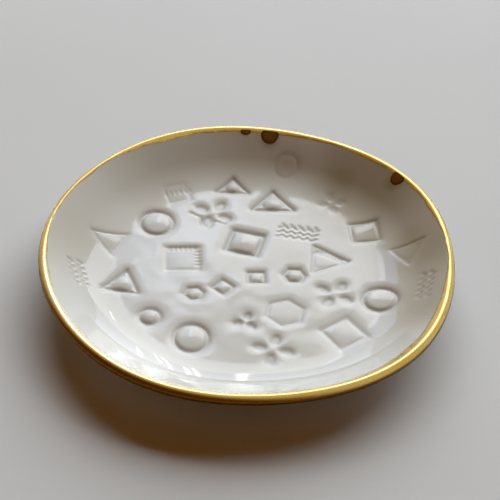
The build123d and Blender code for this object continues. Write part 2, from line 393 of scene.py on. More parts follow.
# This tree presses every mark into the piece that it is given
WAVE_STEPS, ROUND_CORNERS = 48, 48
pressing = bpy.data.node_groups.new("Press_Figures", "GeometryNodeTree")
for name, kind, default in (
    ("Geometry", "NodeSocketGeometry", None),
    ("Stamp Places", "NodeSocketObject", None),
    ("Score Places", "NodeSocketObject", None),
    ("Tooth Pitch", "NodeSocketFloat", 0.95 * MM),
    ("Unevenness", "NodeSocketFloat", 0.35 * MM),
    ("Unevenness Size", "NodeSocketFloat", 12 * MM),
    ("Skin Material", "NodeSocketMaterial", None),
):
    socket = pressing.interface.new_socket(name, in_out="INPUT", socket_type=kind)
    if default is not None:
        socket.default_value = default
pressing.interface.new_socket("Geometry", in_out="OUTPUT", socket_type="NodeSocketGeometry")
tree = pressing
given = add_node(tree, "NodeGroupInput").outputs
read = {}
numbers = ("top_skin", "shape", "reach")
vectors = ("plan", "press_axis", "size", "turn", "centre", "groove", "pillow")
for name in numbers + vectors:
    kind = "FLOAT" if name in numbers else "FLOAT_VECTOR"
    read[name] = add_node(
        tree, "GeometryNodeInputNamedAttribute", {"Name": name}, data_type=kind
    ).outputs["Attribute"]
turned = add_node(tree, "FunctionNodeEulerToRotation", {"Euler": read["turn"]}).outputs[0]
# The circle inside each cutter's edge is one unit across, and a line is one unit long
marks = {}
for places, shapes in (("Stamp Places", (0, 3, 4, 6)), ("Score Places", (1, 2))):
    points = add_node(tree, "GeometryNodeObjectInfo", {"Object": given[places]}).outputs["Geometry"]
    edges = add_node(tree, "GeometryNodeJoinGeometry")
    for shape in shapes:
        if shape == 1:
            cutter = add_node(
                tree,
                "GeometryNodeMeshLine",
                {"Count": 2, "Start Location": (-0.5, 0, 0), "Offset": (1, 0, 0)},
            ).outputs[0]
        elif shape == 2:
            # Four and a half waves to a line, which sway by 4.5% of its length
            line = add_node(
                tree,
                "GeometryNodeMeshLine",
                {"Count": WAVE_STEPS + 1, "Start Location": (-0.5, 0, 0), "Offset": (1 / WAVE_STEPS, 0, 0)},
            )
            position = add_node(tree, "GeometryNodeInputPosition").outputs[0]
            along = add_node(tree, "ShaderNodeSeparateXYZ", {"Vector": position})
            phase = add_node(
                tree, "ShaderNodeMath", {0: along.outputs["X"], 1: 9 * math.pi}, operation="MULTIPLY"
            )
            wave = add_node(tree, "ShaderNodeMath", {0: phase.outputs[0]}, operation="SINE")
            sway = add_node(tree, "ShaderNodeMath", {0: wave.outputs[0], 1: 0.045}, operation="MULTIPLY")
            shift = add_node(tree, "ShaderNodeCombineXYZ", {"Y": sway.outputs[0]})
            cutter = add_node(
                tree, "GeometryNodeSetPosition", {"Geometry": line.outputs[0], "Offset": shift.outputs[0]}
            ).outputs[0]
        else:
            corner = 0.5 / math.cos(math.pi / shape) if shape else 0.5
            cutter = add_node(
                tree,
                "GeometryNodeMeshCircle",
                {"Vertices": shape or ROUND_CORNERS, "Radius": corner},
                fill_type="NGON",
            ).outputs[0]
        chosen = add_node(
            tree,
            "FunctionNodeCompare",
            {0: read["shape"], 1: float(shape), "Epsilon": 0.1},
            operation="EQUAL",
        )
        placing = {
            "Points": points,
            "Selection": chosen.outputs[0],
            "Instance": cutter,
            "Rotation": turned,
            "Scale": read["size"],
        }
        pressed_in = add_node(tree, "GeometryNodeInstanceOnPoints", placing)
        tree.links.new(pressed_in.outputs[0], edges.inputs[0])
    shapes_in_clay = add_node(
        tree, "GeometryNodeRealizeInstances", {"Geometry": edges.outputs[0]}
    ).outputs[0]
    close = add_node(
        tree,
        "GeometryNodeProximity",
        {"Geometry": shapes_in_clay, "Sample Position": read["plan"]},
        target_element="EDGES",
    ).outputs
    nearest = add_node(
        tree,
        "GeometryNodeSampleNearest",
        {"Geometry": shapes_in_clay, "Sample Position": read["plan"]},
        domain="EDGE",
    ).outputs[0]
    found = {"geometry": shapes_in_clay, "distance": close["Distance"], "position": close["Position"]}
    for name in ("centre", "groove", "pillow", "reach"):
        kind = "FLOAT" if name == "reach" else "FLOAT_VECTOR"
        sample = add_node(
            tree,
            "GeometryNodeSampleIndex",
            {"Geometry": shapes_in_clay, "Value": read[name], "Index": nearest},
            data_type=kind,
            domain="EDGE",
        )
        found[name] = sample.outputs[0]
    found["groove parts"] = add_node(tree, "ShaderNodeSeparateXYZ", {"Vector": found["groove"]}).outputs
    marks[places] = found
stamp, score = marks["Stamp Places"], marks["Score Places"]
depth, half, spread = stamp["groove parts"]
pillow = add_node(tree, "ShaderNodeSeparateXYZ", {"Vector": stamp["pillow"]}).outputs
to_face = add_node(
    tree,
    "GeometryNodeProximity",
    {"Geometry": stamp["geometry"], "Sample Position": read["plan"]},
    target_element="FACES",
).outputs
inside = add_node(
    tree, "ShaderNodeMath", {0: to_face["Distance"], 1: 0.001 * MM}, operation="LESS_THAN"
).outputs[0]

# Teeth are counted along the edge: by distance on a straight side, by bearing on a round one
away = add_node(
    tree, "ShaderNodeVectorMath", {0: read["plan"], 1: stamp["position"]}, operation="SUBTRACT"
).outputs[0]
sign = add_node(tree, "ShaderNodeMapRange", {"Value": inside, "To Min": 1.0, "To Max": -1.0}).outputs[0]
outward = add_node(tree, "ShaderNodeVectorMath", {0: away, "Scale": sign}, operation="SCALE").outputs[0]
outward = add_node(tree, "ShaderNodeVectorMath", {0: outward}, operation="NORMALIZE").outputs[0]
along_edge = add_node(
    tree, "ShaderNodeVectorMath", {0: (0, 0, 1), 1: outward}, operation="CROSS_PRODUCT"
).outputs[0]
from_centre = add_node(
    tree, "ShaderNodeVectorMath", {0: read["plan"], 1: stamp["centre"]}, operation="SUBTRACT"
).outputs[0]
straight_way = add_node(
    tree, "ShaderNodeVectorMath", {0: from_centre, 1: along_edge}, operation="DOT_PRODUCT"
).outputs["Value"]
facing = add_node(tree, "ShaderNodeSeparateXYZ", {"Vector": outward}).outputs
bearing = add_node(tree, "ShaderNodeMath", {0: facing["Y"], 1: facing["X"]}, operation="ARCTAN2").outputs[0]
round_radius = add_node(tree, "ShaderNodeSeparateXYZ", {"Vector": stamp["centre"]}).outputs["Z"]
way_round = add_node(
    tree, "ShaderNodeMath", {0: bearing, 1: round_radius, 2: straight_way}, operation="MULTIPLY_ADD"
).outputs[0]
half_pitch = add_node(
    tree, "ShaderNodeMath", {0: given["Tooth Pitch"], 1: 0.5}, operation="MULTIPLY"
).outputs[0]
zigzag = add_node(tree, "ShaderNodeMath", {0: way_round, 1: half_pitch}, operation="PINGPONG").outputs[0]
zigzag = add_node(tree, "ShaderNodeMath", {0: zigzag, 1: half_pitch}, operation="DIVIDE").outputs[0]
tooth = add_node(
    tree, "ShaderNodeMath", {0: zigzag, 1: pillow[2], 2: 1.0}, operation="MULTIPLY_ADD"
).outputs[0]

# Groove: a bell across it, soft outwards, narrow and toothed on the pillow's side
bells = []
lean = add_node(tree, "ShaderNodeMix", {0: inside, 2: spread, 3: tooth}, data_type="FLOAT").outputs[0]
for distance, width, reach in (
    (stamp["distance"], half, lean),
    (score["distance"], score["groove parts"][1], score["groove parts"][2]),
):
    wide = add_node(tree, "ShaderNodeMath", {0: width, 1: reach}, operation="MULTIPLY").outputs[0]
    across = add_node(tree, "ShaderNodeMath", {0: distance, 1: wide}, operation="DIVIDE").outputs[0]
    half_way = add_node(tree, "ShaderNodeMapRange", {"Value": across, "From Max": 2.0}).outputs[0]
    bell = add_node(tree, "ShaderNodeFloatCurve", {"Value": half_way})
    curve = bell.mapping.curves[0]
    curve.points[0].location, curve.points[-1].location = (0.0, 1.0), (1.0, 0.0)
    for x, y in ((0.08, 0.92), (0.18, 0.60), (0.30, 0.30), (0.45, 0.13), (0.65, 0.03), (0.85, 0.0)):
        curve.points.new(x, y)
    bell.mapping.update()
    bells.append(bell.outputs[0])
# Pillow: its edge lies low beside the groove and it domes up towards its middle, from 15% past the
# figure's half width in, so that its corners rise too
middle = add_node(tree, "ShaderNodeSeparateXYZ", {"Vector": from_centre}).outputs
middle = add_node(tree, "ShaderNodeCombineXYZ", {"X": middle["X"], "Y": middle["Y"]}).outputs[0]
outwards = add_node(tree, "ShaderNodeVectorMath", {0: middle}, operation="LENGTH").outputs["Value"]
dome_reach = add_node(tree, "ShaderNodeMath", {0: stamp["reach"], 1: 1.15}, operation="MULTIPLY").outputs[0]
outwards = add_node(
    tree, "ShaderNodeMath", {0: outwards, 1: dome_reach}, operation="DIVIDE", use_clamp=True
).outputs[0]
dome = add_node(tree, "ShaderNodeMath", {0: outwards, 1: 2.0}, operation="POWER").outputs[0]
dome = add_node(tree, "ShaderNodeMath", {0: 1.0, 1: dome}, operation="SUBTRACT").outputs[0]
dome = add_node(tree, "ShaderNodeMath", {0: dome, 1: pillow[1]}, operation="MULTIPLY").outputs[0]
level = add_node(tree, "ShaderNodeMath", {0: 1.0, 1: dome}, operation="SUBTRACT").outputs[0]
level = add_node(tree, "ShaderNodeMath", {0: level, 1: pillow[0]}, operation="MULTIPLY").outputs[0]
level = add_node(tree, "ShaderNodeMath", {0: level, 1: inside}, operation="MULTIPLY").outputs[0]
share = add_node(
    tree, "ShaderNodeMix", {0: bells[0], 2: level, 3: 1.0}, data_type="FLOAT", clamp_factor=False
).outputs[0]
scoring = add_node(
    tree, "ShaderNodeMath", {0: bells[1], 1: score["groove parts"][0]}, operation="MULTIPLY"
).outputs[0]
pressed = add_node(
    tree, "ShaderNodeMath", {0: share, 1: depth, 2: scoring}, operation="MULTIPLY_ADD"
).outputs[0]
# Skins that don't show stay clear below every groove and pillow, from 1.2 mm outside each slope
hidden = []
for found, closed in ((stamp, inside), (score, 0.0)):
    deep, wide, reach = found["groove parts"]
    far = add_node(
        tree, "ShaderNodeMath", {0: wide, 1: reach, 2: 1.2 * MM}, operation="MULTIPLY_ADD"
    ).outputs[0]
    near = add_node(tree, "ShaderNodeMath", {0: wide, 1: 1.3}, operation="MULTIPLY").outputs[0]
    spans = {"Value": found["distance"], "From Min": far, "From Max": near}
    under = add_node(tree, "ShaderNodeMapRange", spans, interpolation_type="SMOOTHSTEP").outputs[0]
    under = add_node(tree, "ShaderNodeMath", {0: under, 1: closed}, operation="MAXIMUM").outputs[0]
    hidden.append(add_node(tree, "ShaderNodeMath", {0: under, 1: deep}, operation="MULTIPLY").outputs[0])
under = add_node(tree, "ShaderNodeMath", {0: hidden[0], 1: hidden[1]}, operation="ADD").outputs[0]
down = add_node(
    tree, "ShaderNodeMix", {0: read["top_skin"], 2: under, 3: pressed}, data_type="FLOAT"
).outputs[0]
one_over = add_node(
    tree, "ShaderNodeMath", {0: 1.0, 1: given["Unevenness Size"]}, operation="DIVIDE"
).outputs[0]
hand = add_node(
    tree, "ShaderNodeTexNoise", {"Vector": read["plan"], "Scale": one_over, "Detail": 1.5}
).outputs[0]
hand = add_node(tree, "ShaderNodeMath", {0: hand, 1: 0.5}, operation="SUBTRACT").outputs[0]
hand = add_node(tree, "ShaderNodeMath", {0: hand, 1: given["Unevenness"]}, operation="MULTIPLY").outputs[0]
# The wall is smoother than the floor, because nobody pressed on it
spread_out = add_node(tree, "ShaderNodeVectorMath", {0: read["plan"]}, operation="LENGTH").outputs["Value"]
spans = {"Value": spread_out, "From Min": 29 * MM, "From Max": 34 * MM, "To Min": 1.0, "To Max": 0.04}
calm = add_node(tree, "ShaderNodeMapRange", spans, interpolation_type="SMOOTHSTEP").outputs[0]
hand = add_node(tree, "ShaderNodeMath", {0: hand, 1: calm}, operation="MULTIPLY").outputs[0]
rise = add_node(tree, "ShaderNodeMath", {0: hand, 1: down}, operation="SUBTRACT").outputs[0]
move = add_node(
    tree, "ShaderNodeVectorMath", {0: read["press_axis"], "Scale": rise}, operation="SCALE"
).outputs[0]
moved = add_node(
    tree, "GeometryNodeSetPosition", {"Geometry": given["Geometry"], "Offset": move}
).outputs[0]
# The glaze's material reads how deep each point was pressed, and greys it there for pooled glaze and
# painted shade
pooled = add_node(tree, "ShaderNodeMapRange", {"Value": pressed, "From Max": 1.0 * MM}).outputs[0]
fact = {"Geometry": moved, "Name": "pooled", "Value": pooled}
kept = add_node(tree, "GeometryNodeStoreNamedAttribute", fact, data_type="FLOAT", domain="POINT").outputs[0]
whole = add_node(tree, "GeometryNodeRealizeInstances", {"Geometry": kept}).outputs[0]
dressed = add_node(
    tree, "GeometryNodeSetMaterial", {"Geometry": whole, "Material": given["Skin Material"]}
).outputs[0]
add_node(tree, "NodeGroupOutput", {"Geometry": dressed})


def press(piece, material):
    """Run the cutters over a piece and leave it a plain mesh."""
    modifier = piece.modifiers.new("Pressings", "NODES")
    modifier.node_group = pressing
    chosen = {"Stamp Places": stamp_places, "Score Places": score_places, "Skin Material": material}
    for item in pressing.interface.items_tree:
        if item.name in chosen:
            modifier[item.identifier] = chosen[item.name]
    view = bpy.context.evaluated_depsgraph_get()
    piece.data = bpy.data.meshes.new_from_object(piece.evaluated_get(view))
    piece.modifiers.remove(modifier)


press(body, bisque)
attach(body, "root")
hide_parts("porcelain_body")

# Inside glaze: clear glossy glaze poured in and swirled, a quarter of a millimetre thick. It
# lies over every pressing, softens the teeth and pools a little in the grooves.

GLAZE = 0.25
# Three corners of the glaze to one of the clay, so that the coat shows the teeth
GLAZE_STEPS = 3 * CLAY_STEPS
top_plan, top_quads, top_edge = disc_grid(GLAZE_STEPS, (3.2, 2.5, 1.9, 1.35, 0.9, 0.5, 0.2))
glaze_top, glaze_facing = inside_surface(top_plan, GLAZE)
under_quads = clay_quads + len(glaze_top)
under_edge = clay_edge + len(glaze_top)
glaze_under = inside_surface(clay_plan, 0)[0]
stitches = []
for i, corner in enumerate(under_edge):
    fine = top_edge[np.arange(3 * i, 3 * i + 4) % len(top_edge)]
    stitches += [(corner, fine[j], fine[j + 1]) for j in range(3)]
    stitches.append((corner, fine[3], under_edge[(i + 1) % len(under_edge)]))
facts = press_facts(top_plan, glaze_facing, 1)
for key, values in press_facts(clay_plan, clay_facing, 0).items():
    facts[key] = np.concatenate((facts[key], values))
points = np.concatenate((glaze_top, glaze_under))
inner_glaze = new_piece("Inner_Glaze", points, (top_quads, under_quads, stitches), facts)

# Clear glaze on white porcelain: wet gloss, cool white, slightly greyer in the grooves, partly where it
# pools and partly as painted shade.
glaze, tree, shader, place = new_finish("White_Glaze")
# Slow change of tone over 25 mm where the glaze ran thicker and thinner
cloud = add_node(tree, "ShaderNodeTexNoise", {"Vector": place, "Scale": 1 / (25 * MM), "Detail": 2.0})
pool_and_shade = add_node(tree, "ShaderNodeAttribute", attribute_name="pooled")
tone = add_node(
    tree,
    "ShaderNodeMix",
    {"Factor": cloud.outputs["Fac"], 6: linear("#d3d2cc"), 7: linear("#dbdad4")},
    data_type="RGBA",
)
# Greyer the deeper a point was pressed: pooled glaze and painted shade in the grooves
pooled = add_node(
    tree,
    "ShaderNodeMix",
    {"Factor": pool_and_shade.outputs["Fac"], 6: tone.outputs[2], 7: linear("#c3c3be")},
    data_type="RGBA",
)
# Painted shade: faint brown clouds darken the far, right and left walls, and two small brown clouds lie
# round the gold runs. Painted light: a whiter cloud brightens the near left wall, which faces the window.
# Each cloud's place and reach in mm, its share and its colour
SHADE_BROWN, NEAR_WALL_LIGHT = "#8c7544", "#f7f6f1"
clouded = pooled.outputs[2]
for x, y, z, reach, share, colour in (
    (9.5, 39.5, 8, 8.0, 0.40, SHADE_BROWN),
    (22.3, 33.5, 8, 6.0, 0.35, SHADE_BROWN),
    (38.8, 12.5, 8, 6.0, 0.30, SHADE_BROWN),
    (34.0, 30.0, 8, 26.5, 0.64, SHADE_BROWN),
    (45.0, 6.0, 9, 21.0, 0.62, SHADE_BROWN),
    (43.0, -14.0, 9, 16.0, 0.50, SHADE_BROWN),
    (-46.0, 6.0, 8, 22.0, 0.20, SHADE_BROWN),
    (-24.0, 38.0, 8, 22.0, 0.22, SHADE_BROWN),
    (0.0, 46.0, 7, 19.0, 0.30, SHADE_BROWN),
    (22.0, 38.0, 6, 14.0, 0.40, SHADE_BROWN),
    (4.2, 45.4, 10, 3.8, 0.65, SHADE_BROWN),
    (35.6, 29.9, 10, 3.4, 0.65, SHADE_BROWN),
    (-27.0, -37.0, 8, 26.0, 0.90, NEAR_WALL_LIGHT),
):
    away = add_node(
        tree, "ShaderNodeVectorMath", {0: place, 1: (x * MM, y * MM, z * MM)}, operation="DISTANCE"
    )
    spans = {"Value": away.outputs["Value"], "From Min": reach * MM, "From Max": 0.0, "To Max": share}
    near = add_node(tree, "ShaderNodeMapRange", spans, interpolation_type="SMOOTHSTEP").outputs[0]
    tones = {"Factor": near, 6: clouded, 7: linear(colour)}
    clouded = add_node(tree, "ShaderNodeMix", tones, data_type="RGBA").outputs[2]
tree.links.new(clouded, shader.inputs["Base Color"])
# It is as wet as glass on the wall, and duller where it pooled thick on the floor
height = add_node(tree, "ShaderNodeSeparateXYZ", {"Vector": place}).outputs["Z"]
gloss = add_node(
    tree,
    "ShaderNodeMapRange",
    {"Value": height, "From Min": 3.9 * MM, "From Max": 4.4 * MM, "To Min": 0.14, "To Max": 0.04},
)
tree.links.new(gloss.outputs[0], shader.inputs["Roughness"])
shader.inputs["IOR"].default_value = 1.52
press(inner_glaze, glaze)
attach(inner_glaze, "root")
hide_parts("inner_glaze")

# Outside glaze: the same glaze, brushed over the outside down to a line a millimetre above the
# table, where it was wiped back so that the dish would not stick to the kiln shelf.


# The dish's section is worked out at every such step over the clay in mm, and blended between them
COAT_STEP, COAT_LEVELS = 0.05, 13


def coat_shell(name, turns, ways, lows, highs, facts):
    """Closed shell round the dish, from one height over the clay to another.

    ways, lows and highs each hold a row for every step across the coat and a column for every turn.
    facts are named rows of the same kind for the coat's material.
    """
    sections = [dish_section(COAT_STEP * level) for level in range(COAT_LEVELS)]
    rows, column = [], np.arange(len(turns))
    for way_row, height_row in (*zip(ways, highs), *zip(ways[::-1], lows[::-1])):
        table_out = np.array([np.interp(way_row, way, out) for way, out, up in sections])
        table_up = np.array([np.interp(way_row, way, up) for way, out, up in sections])
        low = np.clip((height_row / COAT_STEP).astype(int), 0, COAT_LEVELS - 2)
        part = height_row / COAT_STEP - low
        out = table_out[low, column] * (1 - part) + table_out[low + 1, column] * part
        up = table_up[low, column] * (1 - part) + table_up[low + 1, column] * part
        rows.append(ring_at(turns, out, up))
    rings = np.arange(len(rows) * len(turns)).reshape(len(rows), -1)
    faces = [join_rings(rings[i], rings[(i + 1) % len(rings)]) for i in range(len(rings))]
    facts = {key: np.concatenate((fact, fact[::-1])).ravel() for key, fact in facts.items()}
    return new_piece(name, np.concatenate(rows), faces, facts)


def wavering(turns, waves):
    """Sum of waves round the dish: how many go round, height in mm, start in radians."""
    return sum(height * np.sin(count * turns + start) for count, height, start in waves)


# Height of the glaze line, which the sponge left half a millimetre higher and wandering
LINE_UP, WIPED_BACK = 1.0, 0.5
LINE_WAVES = ((3, 0.25, 1), (7, 0.15, 0), (17, 0.08, 2))
# The coat rounds off over this distance from the line, to this share of its thickness
ROUND_OFF, BLUNT = 0.5, 0.08
# The glaze gathered in a bead just above the line: its height, distance from the line and reach
BEAD, BEAD_FROM_LINE, BEAD_REACH = 0.09, 1.0, 0.7
turns = np.linspace(0, 2 * math.pi, 480, endpoint=False)
way, out, up = dish_section(GLAZE)
line_way = np.interp(-LINE_UP, -up[way > 0], way[way > 0])
steps = np.concatenate((np.linspace(0, 0.2, 10), np.linspace(0.22, 0.96, 30), np.linspace(0.965, 1, 8)))
steps = steps[:, None]
ways = steps * (line_way - WIPED_BACK + wavering(turns, LINE_WAVES))
from_line = (1 - steps) * line_way
bead = BEAD * np.exp(-(((from_line - BEAD_FROM_LINE) / BEAD_REACH) ** 2))
edge = np.clip(from_line / ROUND_OFF, 0, 1) ** 0.5
highs = (GLAZE + bead) * np.maximum(edge, BLUNT) + 0 * turns
outer_glaze = coat_shell("Outer_Glaze", turns, ways, 0 * highs, highs, {})
outer_glaze.data.materials.append(glaze)
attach(outer_glaze, "root")
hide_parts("outer_glaze")

# Gold rim: liquid gold lustre brushed round the lip by hand and fired a third time. The brush
# went in further at some places than others, and wraps a little way under the lip.

GOLD = 0.10
# The film thins out over this at its edges, and its underside is sunk a little into the glaze
FEATHER, SUNK = 0.35, 0.01
# The near left side, where the gold ran, with painted glare on its inside and painted shade from further in
# on its outside: its bearing and spread in degrees
NEAR_BEARING, NEAR_SPREAD = 236, 42
# How far the brush went in from the rim in mm, at every 15 degrees from 7.5 degrees on
BRUSH = (
    1.75, 2.15, 2.30, 2.20, 2.15, 2.40, 2.50, 2.55, 2.30, 1.80, 1.65, 1.70,
    2.20, 2.70, 3.10, 3.40, 3.60, 3.60, 3.40, 3.30, 3.40, 3.50, 3.00, 2.10,
)
# The brush's hairs left the inside edge ragged
HAIRS = ((11, 0.10, 1), (23, 0.07, 2), (41, 0.05, 0), (83, 0.03, 1))
# How far it wraps under the lip in mm, and how that wanders
UNDER_LIP, UNDER_WAVES = 1.9, ((2, 0.35, -0.5), (5, 0.2, 2), (19, 0.1, 0))
# Over what distance from its inside edge it is worn thin, and painted with cream glare on the near left
WORN_OVER, GLARE_OVER = 0.7, 3.0
# How far past the crest it is painted with brown shade, how much sooner on the near left, and over what
# distance
BROWN_FROM, BROWN_SOONER, BROWN_OVER = 1.0, 0.9, 0.7


def brushed(turns, reaches):
    """Reaches at even steps from 7.5 degrees on, made into a smooth closed curve."""
    shift = turns - math.radians(7.5)
    waves = [part * np.exp(1j * order * shift) for order, part in enumerate(np.fft.rfft(reaches))]
    return (waves[0].real + 2 * sum(wave.real for wave in waves[1:])) / len(reaches)


turns = np.linspace(0, 2 * math.pi, 900, endpoint=False)
way, out, up = dish_section(GLAZE)
reach = brushed(turns, BRUSH)
inner_end = np.interp(-reach + wavering(turns, HAIRS), out[way <= 0], way[way <= 0])
lip_end = (LIP_RADIUS + GLAZE) * (math.pi - SLOPE)
outer_end = lip_end + UNDER_LIP + wavering(turns, UNDER_WAVES)
steps = np.linspace(0, 1, 30)[:, None]
ways = inner_end + (outer_end - inner_end) * steps
from_edge = np.minimum(ways - inner_end, outer_end - ways)
film = GOLD * np.clip(from_edge / FEATHER, 0.02, 1) ** 0.5
lows = np.full_like(ways, GLAZE - SUNK)
# Each point's shares: worn thin at the inside edge, painted cream glare there on the near left, and
# painted brown shade past the crest, from further in on the near left
near_side = np.exp(-(((np.degrees(turns) - NEAR_BEARING) / NEAR_SPREAD) ** 2))
gold_facts = {
    "thin": np.clip(1 - (ways - inner_end) / WORN_OVER, 0, 1) * (1 - near_side),
    "painted_glare": np.clip(1 - (ways - inner_end) / GLARE_OVER, 0, 1) * near_side,
    "painted_brown_shade": np.clip((ways - BROWN_FROM + BROWN_SOONER * near_side) / BROWN_OVER, 0, 1),
}
gold_rim = coat_shell("Gold_Rim", turns, ways, lows, lows + film, gold_facts)
# Fired gold lustre: bright yellow gold along the crest, painted brown shade outside past the crest,
# duller and patchy at its worn inside edge, and there a painted cream glare on the near left.
gold, tree, shader, place = new_finish("Gold_Lustre")
# Patches of 8 mm from brush loads, worn spots of 1.5 mm
load = add_node(tree, "ShaderNodeTexNoise", {"Vector": place, "Scale": 1 / (8 * MM), "Detail": 3.0})
wear = add_node(tree, "ShaderNodeTexNoise", {"Vector": place, "Scale": 1 / (1.5 * MM), "Detail": 4.0})
thin, painted_brown_shade, painted_glare = (
    add_node(tree, "ShaderNodeAttribute", attribute_name=name).outputs["Fac"]
    for name in ("thin", "painted_brown_shade", "painted_glare")
)
patchy = add_node(
    tree, "ShaderNodeMath", {0: thin, 1: wear.outputs["Fac"]}, operation="MULTIPLY"
).outputs[0]
worn = add_node(tree, "ShaderNodeMapRange", {"Value": patchy, "From Min": 0.25, "From Max": 0.6}).outputs[0]
painted_glare = add_node(
    tree, "ShaderNodeMapRange", {"Value": painted_glare, "From Min": 0.05, "From Max": 0.55}
).outputs[0]
# Pale gold, deeper from one brush load to the next, then where it is worn, then painted brown shade past
# the crest and painted cream glare on the near left
coated = linear("#ffe9aa")
for share, colour in (
    (load.outputs["Fac"], "#e4c068"),
    (worn, "#c09a58"),
    (painted_brown_shade, "#7a5018"),
    (painted_glare, "#f4ecd4"),
):
    tones = {"Factor": share, 6: coated, 7: linear(colour)}
    coated = add_node(tree, "ShaderNodeMix", tones, data_type="RGBA").outputs[2]
tree.links.new(coated, shader.inputs["Base Color"])
# Less metal where it is worn and where the cream glare is painted
worn_and_glare = add_node(tree, "ShaderNodeMath", {0: worn, 1: painted_glare}, operation="MAXIMUM").outputs[0]
metal = add_node(tree, "ShaderNodeMapRange", {"Value": worn_and_glare, "To Min": 1.0, "To Max": 0.4}).outputs[0]
tree.links.new(metal, shader.inputs["Metallic"])
gloss = add_node(
    tree,
    "ShaderNodeMapRange",
    {"Value": wear.outputs["Fac"], "From Min": 0.3, "From Max": 0.7, "To Min": 0.24, "To Max": 0.36},
)
tree.links.new(gloss.outputs[0], shader.inputs["Roughness"])
rise = add_node(
    tree, "ShaderNodeBump", {"Height": wear.outputs["Fac"], "Strength": 0.15, "Distance": 0.05 * MM}
)
tree.links.new(rise.outputs["Normal"], shader.inputs["Normal"])
gold_rim.data.materials.append(gold)
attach(gold_rim, "root")
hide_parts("gold_rim")

# Gold runs: three places where the brush left too much lustre, which crept down the inside wall
# in the kiln and fired brown. They are the same film as the rim, only thicker.

# Height of a run in its middle and at its edge in mm
RUN, RUN_EDGE = 0.14, 0.05
# A run's points are blended between the sections over the glaze and this far above it in mm
SECTION_GAP = 0.2
# Bearing in degrees, width, and where it starts and ends in from the rim in mm
RUNS = ((92.5, 2.8, 1.9, 3.1), (84.8, 4.9, 1.7, 4.7), (40, 3.9, 1.6, 4.3))
low_way, low_out, low_up = dish_section(GLAZE)
high_way, high_out, high_up = dish_section(GLAZE + SECTION_GAP)
wall = low_way <= 0
runs = []
for bearing, width, start, reach in RUNS:
    across = np.linspace(-1, 1, 25)
    steps = np.linspace(0, 1, 21)[:, None]
    top_way, tip_way = np.interp((-start, -reach), low_out[wall], low_way[wall])
    ways = top_way + (tip_way - top_way) * steps + 0 * across
    # A run is widest near its top and has a round tip
    swell = 1.4 * steps - 0.4
    narrow = np.sqrt(np.clip(1 - swell**2, 0.0004, 1))
    turns = math.radians(bearing) + across * narrow * width / 2 / RIM_RADIUS
    bulge = np.clip(1 - across**2, 0, 1) ** 0.5 * np.clip(1 - (2 * steps - 1) ** 2, 0, 1) ** 0.5
    runs.append((ways, turns, bulge))
points, faces, drops = [], [], []
for ways, turns, bulge in runs:
    film = RUN_EDGE + (RUN - RUN_EDGE) * bulge
    spot = sum(map(len, points)) + np.arange(ways.size).reshape(ways.shape)
    # The top skin stands a fifth of the rim's film higher, and the other is sunk into the glaze
    for over_glaze in (GOLD * 0.2 + film, 0 * film - SUNK):
        part = over_glaze / SECTION_GAP
        low, high = np.interp(ways, low_way, low_out), np.interp(ways, high_way, high_out)
        radius = rim_at(turns) + low * (1 - part) + high * part
        low, high = np.interp(ways, low_way, low_up), np.interp(ways, high_way, high_up)
        height = low * (1 - part) + high * part
        skin = np.stack((radius * np.cos(turns), radius * np.sin(turns), height), axis=-1)
        points.append(skin.reshape(-1, 3))
        drops.append(bulge.ravel())
    quads, edge = patch_faces(spot)
    faces += [quads, quads + spot.size, join_rings(edge, edge + spot.size)]
gold_runs = new_piece("Gold_Runs", np.concatenate(points), faces, {"drop": np.concatenate(drops)})
# Thick fired lustre: dark brown with a dull metal gleam, orange-brown where the drop is thickest.
thick_gold, tree, shader, place = new_finish("Thick_Gold_Lustre")
load = add_node(tree, "ShaderNodeTexNoise", {"Vector": place, "Scale": 1 / (1.2 * MM), "Detail": 3.0})
tone = add_node(
    tree,
    "ShaderNodeMix",
    {"Factor": load.outputs["Fac"], 6: linear("#64400a"), 7: linear("#86580f")},
    data_type="RGBA",
)
drop = add_node(tree, "ShaderNodeAttribute", attribute_name="drop").outputs["Fac"]
middle = add_node(tree, "ShaderNodeMapRange", {"Value": drop, "From Min": 0.2, "From Max": 0.95}).outputs[0]
tone = add_node(
    tree, "ShaderNodeMix", {"Factor": middle, 6: linear("#4a2e08"), 7: tone.outputs[2]}, data_type="RGBA"
)
tree.links.new(tone.outputs[2], shader.inputs["Base Color"])
shader.inputs["Metallic"].default_value = 0.6
gloss = add_node(tree, "ShaderNodeMapRange", {"Value": load.outputs["Fac"], "To Min": 0.25, "To Max": 0.45})
tree.links.new(gloss.outputs[0], shader.inputs["Roughness"])
gold_runs.data.materials.append(thick_gold)
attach(gold_runs, "root")
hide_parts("gold_runs")

# Table: a plain pale top of board faced with matt laminate, wide enough for every view. The dish
# stands loose on it.
work = bmesh.new()
bmesh.ops.create_grid(work, x_segments=8, y_segments=8, size=4.0)
top = bpy.data.meshes.new("Table_Top")
work.to_mesh(top)
work.free()
table_top = bpy.data.objects.new("Table_Top", top)
bpy.context.scene.collection.objects.link(table_top)
# Matt laminate: pale neutral grey, hardly any gloss.
laminate, tree, shader, place = new_finish("Matt_Laminate")
cloud = add_node(tree, "ShaderNodeTexNoise", {"Vector": place, "Scale": 1 / (60 * MM), "Detail": 2.0})
tone = add_node(
    tree,
    "ShaderNodeMix",
    {"Factor": cloud.outputs["Fac"], 6: linear("#d5d5d4"), 7: linear("#dbdbda")},
    data_type="RGBA",
)
tree.links.new(tone.outputs[2], shader.inputs["Base Color"])
shader.inputs["Roughness"].default_value = 0.7
shader.inputs["Specular IOR Level"].default_value = 0.2
top.materials.append(laminate)

# Light: a soft window behind the dish lights it, a little from the right. What mirrors in its glaze
# stands straight behind: two tall panes on the floor of the dish, and a low pane and narrow gaps of
# daylight on the near wall.


